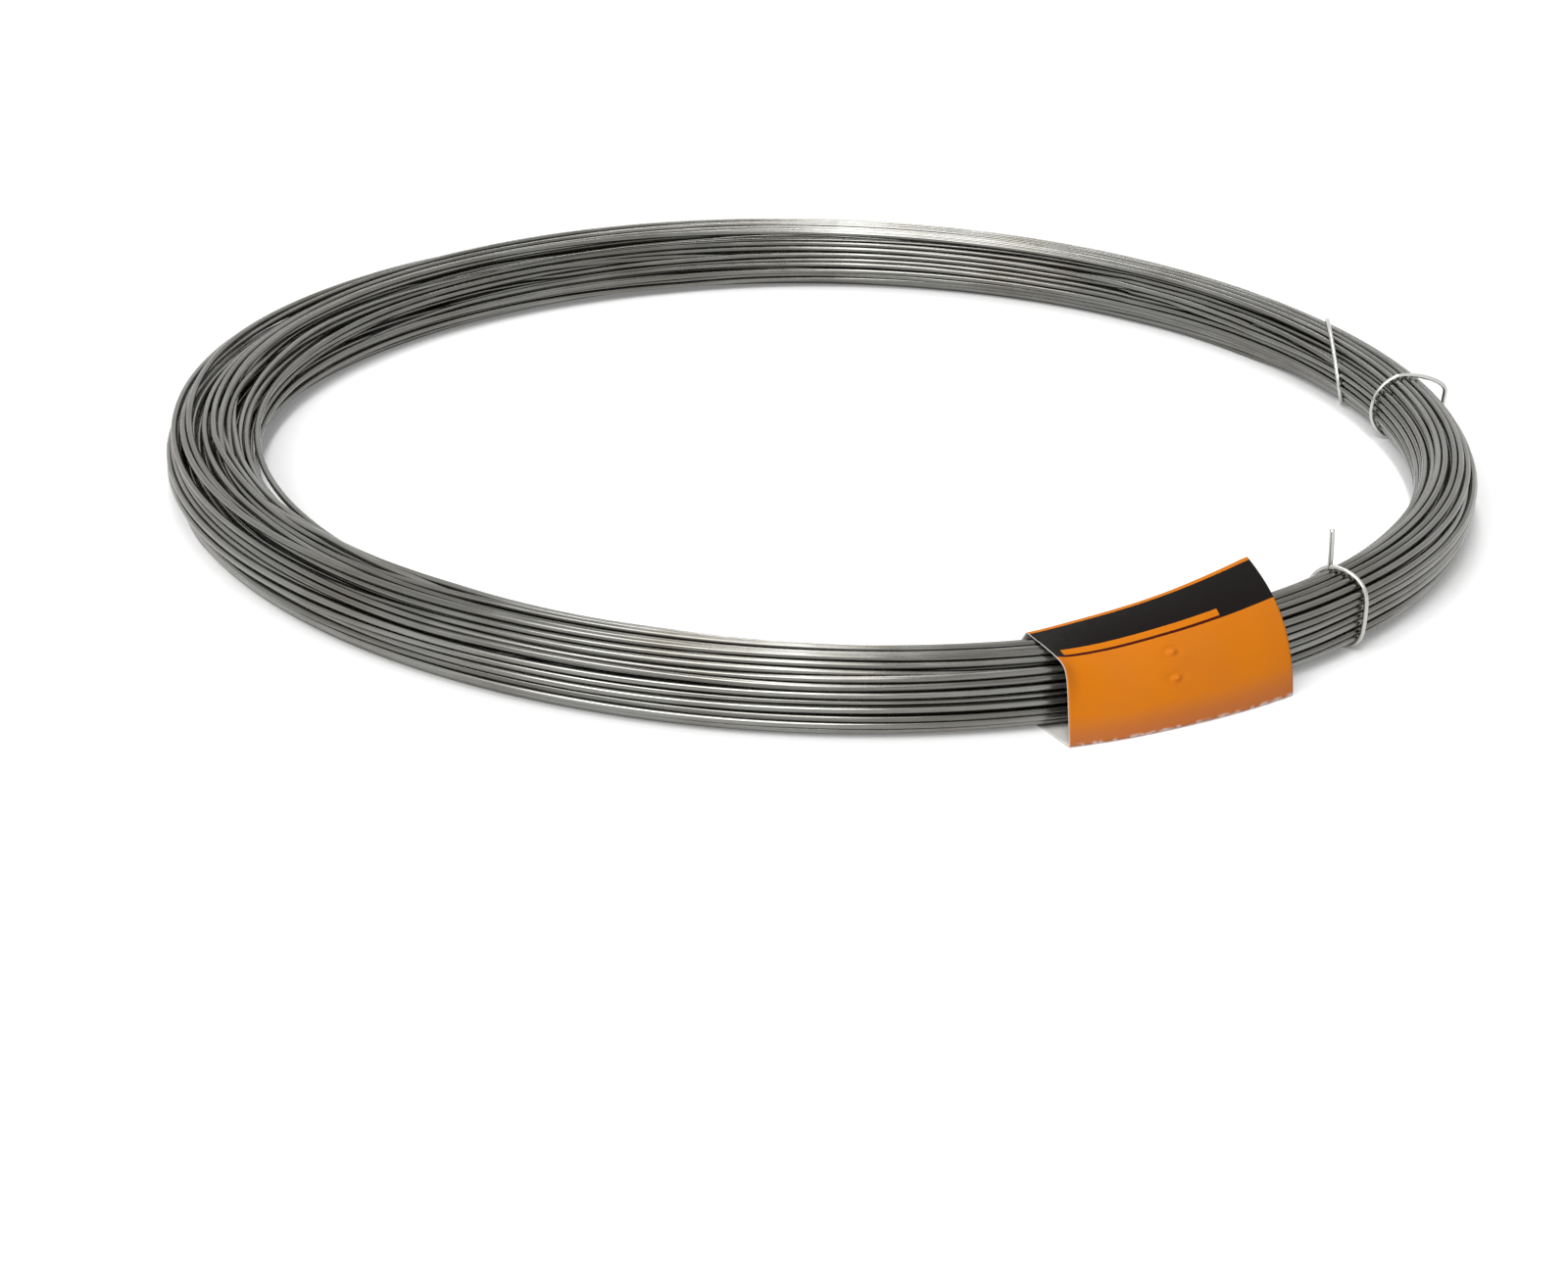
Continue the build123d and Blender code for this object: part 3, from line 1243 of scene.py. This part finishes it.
@dataclass
class PaperSleeve:
    """The printed paper folded round the bundle, slack at its right end and along its lower fold.

    Places along it run from zero at the left to one at the right. Slopes are in degrees.
    """

    azimuth: float = 27.5
    length: float = 59.0 * MM
    thickness: float = 0.28 * MM
    play: float = 0.12 * MM
    floor_play: float = 0.02 * MM
    askew: float = 1.5 * MM
    askew_width: float = 24.0 * MM
    left_slack: float = 0.12
    lower_fold_reach: float = 6.6 * MM
    lower_fold_taper: float = 0.35
    upper_fold_rise: float = 7.8 * MM
    upper_fold_lean: float = 4.6 * MM
    inner_top_side: Span = (-0.5, 0.87)
    upper_slope: float = -6.0
    upper_slope_change: float = -16.0
    upper_spring: float = 0.8
    lower_slope: float = 99.0
    steeper_tries: range = range(0, 60, 4)
    spring_range: Span = (0.3, 1.1)
    spring_tries: int = 33
    back_slopes: Span = (-45.0, -225.0)
    steps_along: int = 120
    steps_front: int = 96
    steps_back: int = 104
    curve_steps: int = 160
    hull_steps: int = 360
    along_ease: float = 4.0
    round_ease: float = 1.2
    wave_depth: float = 0.08 * MM
    wave_counts: Span = (1.4, 1.0)
    dent_depth: float = 1.1 * MM
    dent_rim: float = 0.7
    dent_size: Span = (0.024, 0.026)
    dents: tuple[Span, ...] = ((0.47, 0.47), (0.46, 0.65))

    @property
    def steps_round(self) -> int:
        """Number of points once round the sleeve."""
        return self.steps_front + self.steps_back

    def squeeze(self, outer_radius: float) -> Squeeze:
        """The stretch of the bundle that the sleeve squeezes."""
        reach = float(np.degrees(self.length / 2 / outer_radius))
        return Squeeze(self.azimuth, reach, self.thickness)

    def tight_line(self, bundle: WireBundle, share: float) -> np.ndarray:
        """Outline that the paper would take if it hugged the turns, at one place along it.

        Args:
            bundle: The turns that it wraps.
            share: Place along the sleeve.

        Returns:
            Radius and height of points all round.
        """
        azimuth = self.azimuth + np.degrees((share - 0.5) * self.length / bundle.outer_radius)
        facing = bearings(np.linspace(0.0, 2 * pi, self.hull_steps, endpoint=False))
        reach = bundle.wire_diameter / 2 + self.thickness + self.play
        return wrap_hull(bundle.section_at(azimuth), facing) + facing * reach

    def section(self, bundle: WireBundle, share: float) -> np.ndarray:
        """The paper's outer line in the upright plane at one place along it.

        Args:
            bundle: The turns that it wraps.
            share: Place along the sleeve.

        Returns:
            Radius and height of each point, from the upper fold over the front and back round.
        """
        tight = self.tight_line(bundle, share)
        slack = self.left_slack + (1.0 - self.left_slack) * share
        left, right = (self._inner_top(bundle, end) for end in (0.0, 1.0))
        lifted = np.array([-self.upper_fold_lean, self.upper_fold_rise])
        upper = left + (right - left) * share + slack * lifted
        reach = self.lower_fold_reach * (1.0 - self.lower_fold_taper * share)
        lower = np.array([bundle.outer_radius + reach, self.thickness])
        slope = self.upper_slope + self.upper_slope_change * share
        front = self._front(upper, lower, tight, slope)
        behind = bearings(np.radians(np.linspace(*self.back_slopes, self.hull_steps)))
        back = wrap_hull(np.vstack([tight, upper, lower]), behind)
        return np.vstack([spaced(front, self.steps_front), spaced(back, self.steps_back)])

    def _inner_top(self, bundle: WireBundle, share: float) -> np.ndarray:
        """The point of the tight outline at its inner top edge."""
        tight = self.tight_line(bundle, share)
        return tight[np.argmax(tight @ np.array(self.inner_top_side))]

    def _front(
        self, upper: np.ndarray, lower: np.ndarray, tight: np.ndarray, slope: float
    ) -> np.ndarray:
        """The front sheet, which springs in one smooth bend from fold to fold, clear of the turns.

        Args:
            upper: The upper fold.
            lower: The lower fold.
            tight: Outline that the sheet has to stay outside of.
            slope: Angle at which the sheet leaves the upper fold.

        Returns:
            Points from the upper fold to the lower one.
        """
        place = np.linspace(0.0, 1.0, self.curve_steps)[:, None]
        arrive = np.array([cos(radians(self.lower_slope)), sin(radians(self.lower_slope))])
        reaches = np.linspace(*self.spring_range, self.spring_tries) * np.linalg.norm(lower - upper)
        for steeper, spring in product(self.steeper_tries, reaches):
            turn = radians(slope + steeper)
            first = upper + np.array([cos(turn), sin(turn)]) * spring * self.upper_spring
            second = lower + arrive * spring
            curve = (1 - place) ** 3 * upper + 3 * (1 - place) ** 2 * place * first
            curve = curve + 3 * (1 - place) * place**2 * second + place**3 * lower
            if self._clears(curve, tight):
                break
        return curve

    @staticmethod
    def _clears(curve: np.ndarray, tight: np.ndarray) -> bool:
        """Tells whether a front sheet stays outside an outline, apart from what lies past its ends.

        Args:
            curve: Points from the upper fold to the lower one.
            tight: The outline.

        Returns:
            True where the whole outline lies behind the sheet.
        """
        step = np.gradient(curve, axis=0)
        outward = np.stack([-step[:, 1], step[:, 0]], axis=-1)
        offset = tight[:, None] - curve[None]
        nearest = np.argmin((offset**2).sum(axis=-1), axis=1)
        beyond = (offset[np.arange(len(tight)), nearest] * outward[nearest]).sum(axis=-1)
        past = (nearest == 0) | (nearest == len(curve) - 1)
        return bool(np.all((beyond <= 0.0) | past))

    def surfaces(self, bundle: WireBundle) -> tuple[np.ndarray, np.ndarray]:
        """Outer and inner surface of the paper, as radius and height.

        Args:
            bundle: The turns that it wraps.

        Returns:
            Two arrays of places along, places round and two.
        """
        shares = np.linspace(0.0, 1.0, self.steps_along)
        sections = np.stack([self.section(bundle, share) for share in shares])
        by_column = blur(sections, self.along_ease).transpose(1, 0, 2)
        outer = blur_round(by_column, self.round_ease).transpose(1, 0, 2)
        step = np.roll(outer, -1, axis=1) - np.roll(outer, 1, axis=1)
        normal = np.stack([-step[..., 1], step[..., 0]], axis=-1)
        normal /= np.linalg.norm(normal, axis=-1, keepdims=True)
        outer = outer + normal * self._waves(shares)[..., None]
        outer[..., 1] = np.maximum(outer[..., 1], self.floor_play)
        inner = outer - normal * self.thickness
        inner[..., 1] = np.maximum(inner[..., 1], self.floor_play + self.thickness)
        return outer, inner

    def _waves(self, shares: np.ndarray) -> np.ndarray:
        """Small waves and two dents in the paper.

        Args:
            shares: Places along the sleeve.

        Returns:
            How far outwards the paper moves, by places along and places round.
        """
        along = shares[:, None]
        down = np.arange(self.steps_round)[None, :] / self.steps_front
        count_along, count_down = self.wave_counts
        waves = self.wave_depth * np.sin(2 * pi * (count_along * along + count_down * down))
        length, height = self.dent_size
        for place, depth in self.dents:
            near = ((along - place) / length) ** 2 + ((down - depth) / height) ** 2
            waves = waves + self.dent_depth * np.exp(-near) * (self.dent_rim - near)
        return waves

    def build(self, bundle: WireBundle, finish: PaperFinish, effects: SharedEffects) -> None:
        """Makes the sleeve's mesh.

        Args:
            bundle: The turns that it wraps.
            finish: Finish of the paper.
            effects: The shared node groups.
        """
        around_it = self.steps_round
        surfaces = self.surfaces(bundle)
        points = np.concatenate([self._in_frame(bundle, surface) for surface in surfaces])
        offset = len(points) // 2
        sheet = tube_faces(self.steps_along, around_it, False)
        ring = np.arange(around_it)
        after = np.roll(ring, -1)
        left_rim = np.stack([ring, ring + offset, after + offset, after], axis=-1)
        right_rim = np.stack([ring, after, after + offset, ring + offset], axis=-1) + offset - around_it
        faces = np.vstack([sheet[:, ::-1], sheet + offset, left_rim, right_rim])
        materials = [finish.printed(effects, self.steps_front / around_it), finish.inside(effects)]
        piece = make_object("printed_sleeve", points, faces, materials)
        sides = np.full(len(faces), Side.BARE.value, np.int32)
        sides[: len(sheet)] = Side.PRINTED.value
        piece.data.polygons.foreach_set("material_index", sides)
        along = faces % offset // around_it / (self.steps_along - 1)
        down = unrolled(faces % around_it, around_it) / around_it
        set_uv(piece, np.stack([along, down], axis=-1))
        seat(piece, "paper_label")

    def _in_frame(self, bundle: WireBundle, surface: np.ndarray) -> np.ndarray:
        """Bends a surface of the paper round the coil without stretching it.

        Args:
            bundle: The turns that it wraps.
            surface: Radius and height, by places along and places round.

        Returns:
            Points of the frame.
        """
        radii, heights = surface[..., 0], surface[..., 1]
        inward = (bundle.outer_radius + self.lower_fold_reach - radii) / self.askew_width
        along = np.linspace(-0.5, 0.5, self.steps_along)[:, None] * self.length - self.askew * inward
        return around(self.azimuth + np.degrees(along / radii), radii, heights).reshape(-1, 3)


@dataclass(frozen=True)
class Lamp:
    """A rectangular lamp: where it hangs, where it shines, its width and length, its power in watts."""

    name: str
    place: Point
    aim: Point
    size: Span
    power: float

    def hang(self) -> None:
        """Puts the lamp into the scene."""
        light = bpy.data.lights.new(self.name, "AREA")
        light.shape = "RECTANGLE"
        light.size, light.size_y = self.size
        light.energy = self.power
        holder = bpy.data.objects.new(self.name, light)
        holder.location = self.place
        beam = Vector(self.aim) - Vector(self.place)
        holder.rotation_euler = beam.to_track_quat("-Z", "Y").to_euler()
        bpy.context.scene.collection.objects.link(holder)


@dataclass
class Studio:
    """Floor, light and camera; angles of the camera are in degrees."""

    floor_size: float = 40.0
    floor_colour: Colour = (0.92, 0.92, 0.92)
    floor_roughness: float = 0.9
    floor_specular: float = 0.1
    floor_glow: float = 0.20
    white_from_to: Span = (0.30, 1.10)
    fill: float = 0.08
    lamps: tuple[Lamp, ...] = (
        Lamp("overhead_strip", (-0.08, 0.55, 2.30), (-0.08, 0.55, 0.0), (0.30, 4.90), 38.0),
        Lamp("front_softbox", (-0.80, -1.80, 1.90), (0.0, 0.0, 0.0), (2.40, 1.40), 66.0),
    )
    distance: float = 0.7053
    target_height: float = 9.5 * MM
    elevation: float = 19.99
    pitch: float = -24.53
    yaw: float = 0.715
    roll: float = 1.706
    focal_pixels: float = 2699.4
    image_width: float = 1600.0
    sensor: float = 36.0

    def build(self) -> None:
        """Sets the stage."""
        self._floor()
        self._world()
        for lamp in self.lamps:
            lamp.hang()
        self._camera()
        bpy.context.scene.view_settings.view_transform = "Standard"

    def _floor(self) -> None:
        """Lays the plain pale floor, which runs out into the white background."""
        half = self.floor_size / 2
        near, far = [(-half, -half, 0.0), (half, -half, 0.0)], [(half, half, 0.0), (-half, half, 0.0)]
        corners = np.array(near + far)
        material, shading, shader = new_material("pale_floor")
        shading.feed(shader.inputs["Base Color"], self.floor_colour)
        shader.inputs["Roughness"].default_value = self.floor_roughness
        shader.inputs["Specular IOR Level"].default_value = self.floor_specular
        shading.feed(shader.inputs["Emission Color"], (1.0, 1.0, 1.0))
        place = shading.node("ShaderNodeTexCoord")
        away = shading.node("ShaderNodeVectorMath", {"operation": "LENGTH"})
        shading.feed(away.inputs[0], place.outputs["Object"])
        glow = shading.span(away.outputs["Value"], *self.white_from_to, self.floor_glow, 1.0)
        strength = shading.math("MULTIPLY", self._seen(shading), glow)
        shading.feed(shader.inputs["Emission Strength"], strength)
        floor = make_object("floor", corners, np.array([[0, 1, 2, 3]]), [material])

    def _world(self) -> None:
        """Makes a white background that camera and mirror rays see, with a softer fill for the rest."""
        world = bpy.data.worlds.new("studio")
        world.use_nodes = True
        world.node_tree.nodes.clear()
        shading = Shading(world.node_tree)
        strength = shading.math("MULTIPLY_ADD", self._seen(shading), 1.0 - self.fill, self.fill)
        sky = shading.node("ShaderNodeBackground", Color=(1.0, 1.0, 1.0), Strength=strength)
        shading.node("ShaderNodeOutputWorld", Surface=sky.outputs[0])
        bpy.context.scene.world = world

    @staticmethod
    def _seen(shading: Shading) -> Socket:
        """A mask of one for rays that see the background: from the camera, a mirror or glass.

        Args:
            shading: Helper of the tree that the mask goes into.

        Returns:
            The mask.
        """
        path = shading.node("ShaderNodeLightPath")
        seen = shading.math("MAXIMUM", path.outputs["Is Camera Ray"], path.outputs["Is Glossy Ray"])
        return shading.math("MAXIMUM", seen, path.outputs["Is Transmission Ray"])

    def _camera(self) -> None:
        """Sets the camera where the photograph was taken."""
        lens = bpy.data.cameras.new("camera")
        lens.sensor_fit = "HORIZONTAL"
        lens.sensor_width = self.sensor
        lens.lens = self.focal_pixels / self.image_width * self.sensor
        camera = bpy.data.objects.new("camera", lens)
        height = self.target_height + self.distance * sin(radians(self.elevation))
        place = Matrix.Translation((0.0, -self.distance * cos(radians(self.elevation)), height))
        pan = Matrix.Rotation(radians(self.yaw), 4, "Z")
        tilt = Matrix.Rotation(radians(90.0 + self.pitch), 4, "X")
        camera.matrix_world = place @ pan @ tilt @ Matrix.Rotation(radians(self.roll), 4, "Z")
        bpy.context.scene.collection.objects.link(camera)
        bpy.context.scene.camera = camera


COIL_STEEL = SteelFinish(
    name="annealed_steel",
    slot="annealed_wire",
    pale=(0.285, 0.283, 0.268),
    dark=(0.112, 0.111, 0.102),
    oxide=(0.120, 0.106, 0.080),
    oxide_share=0.5,
    roughness=(0.20, 0.34),
    streaks_along=34.0,
    streaks_across=215.0,
    line_depth=0.03 * MM,
    lay_map=WIRE_MAP,
)
TIE_STEEL = SteelFinish(
    name="bright_tie_steel",
    slot="tie_wire",
    pale=(0.68, 0.68, 0.66),
    dark=(0.46, 0.46, 0.445),
    oxide=(0.25, 0.235, 0.20),
    oxide_share=0.35,
    roughness=(0.16, 0.30),
    streaks_along=10.0,
    streaks_across=6.0,
    line_depth=0.02 * MM,
)


def main() -> None:
    """Builds the pieces in order."""
    logging.basicConfig(level=logging.INFO, format="%(name)s: %(message)s")
    _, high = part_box("wire_coil")
    effects = SharedEffects()
    ties = [
        TieWire("front_tie", 47.0, 0.0, TieStyle.CUT_END),
        TieWire("middle_tie", 100.0, 0.0, TieStyle.LOOSE_LOOP),
        TieWire("back_tie", 114.5, 60.0, TieStyle.SNUG, lean=0.5),
    ]
    sleeve = PaperSleeve()
    squeezes = [*(tie.squeeze() for tie in ties), sleeve.squeeze(high.x)]
    bundle = WireBundle(outer_radius=high.x, height=high.z, squeezes=squeezes)
    bundle.settle()
    bundle.build(COIL_STEEL.material(effects), COIL_STEEL.slot)
    tie_steel = TIE_STEEL.material(effects)
    for tie in ties:
        tie.build(bundle, tie_steel, TIE_STEEL.slot)
    sleeve.build(bundle, PaperFinish(), effects)
    Studio().build()


if __name__ == "__main__":
    main()
